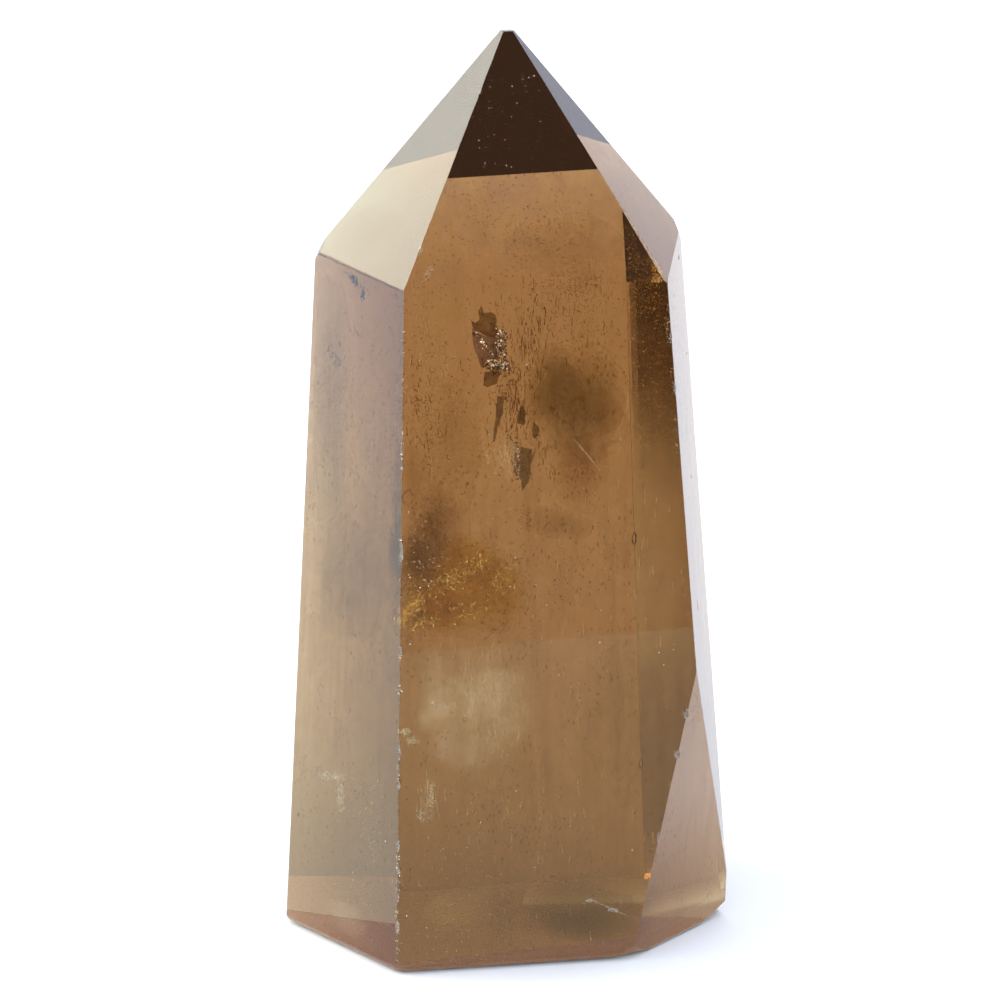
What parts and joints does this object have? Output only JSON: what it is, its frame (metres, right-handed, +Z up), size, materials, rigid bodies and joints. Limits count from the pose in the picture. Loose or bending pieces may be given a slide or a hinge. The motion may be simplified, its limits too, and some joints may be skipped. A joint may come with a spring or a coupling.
{
  "type": "smoky quartz point",
  "caption": "Polished smoky quartz tower: a tapering six-sided prism of clear brown crystal with a pointed pyramid top, standing on its flat sawn base.",
  "frame": {"origin": "centre of the crystal's box, at the level of the sawn base that it stands on", "axes": "+Z up along the crystal to its tip, -Y out of the broad front face, +X to the right seen from the front"},
  "size_m": [0.044, 0.037, 0.0892],
  "materials": {
    "smoky_quartz": "polished, clear brown with cloudy veils"
  },
  "bodies": {
    "root": {"quartz_point": "smoky_quartz"}
  },
  "joints": []
}
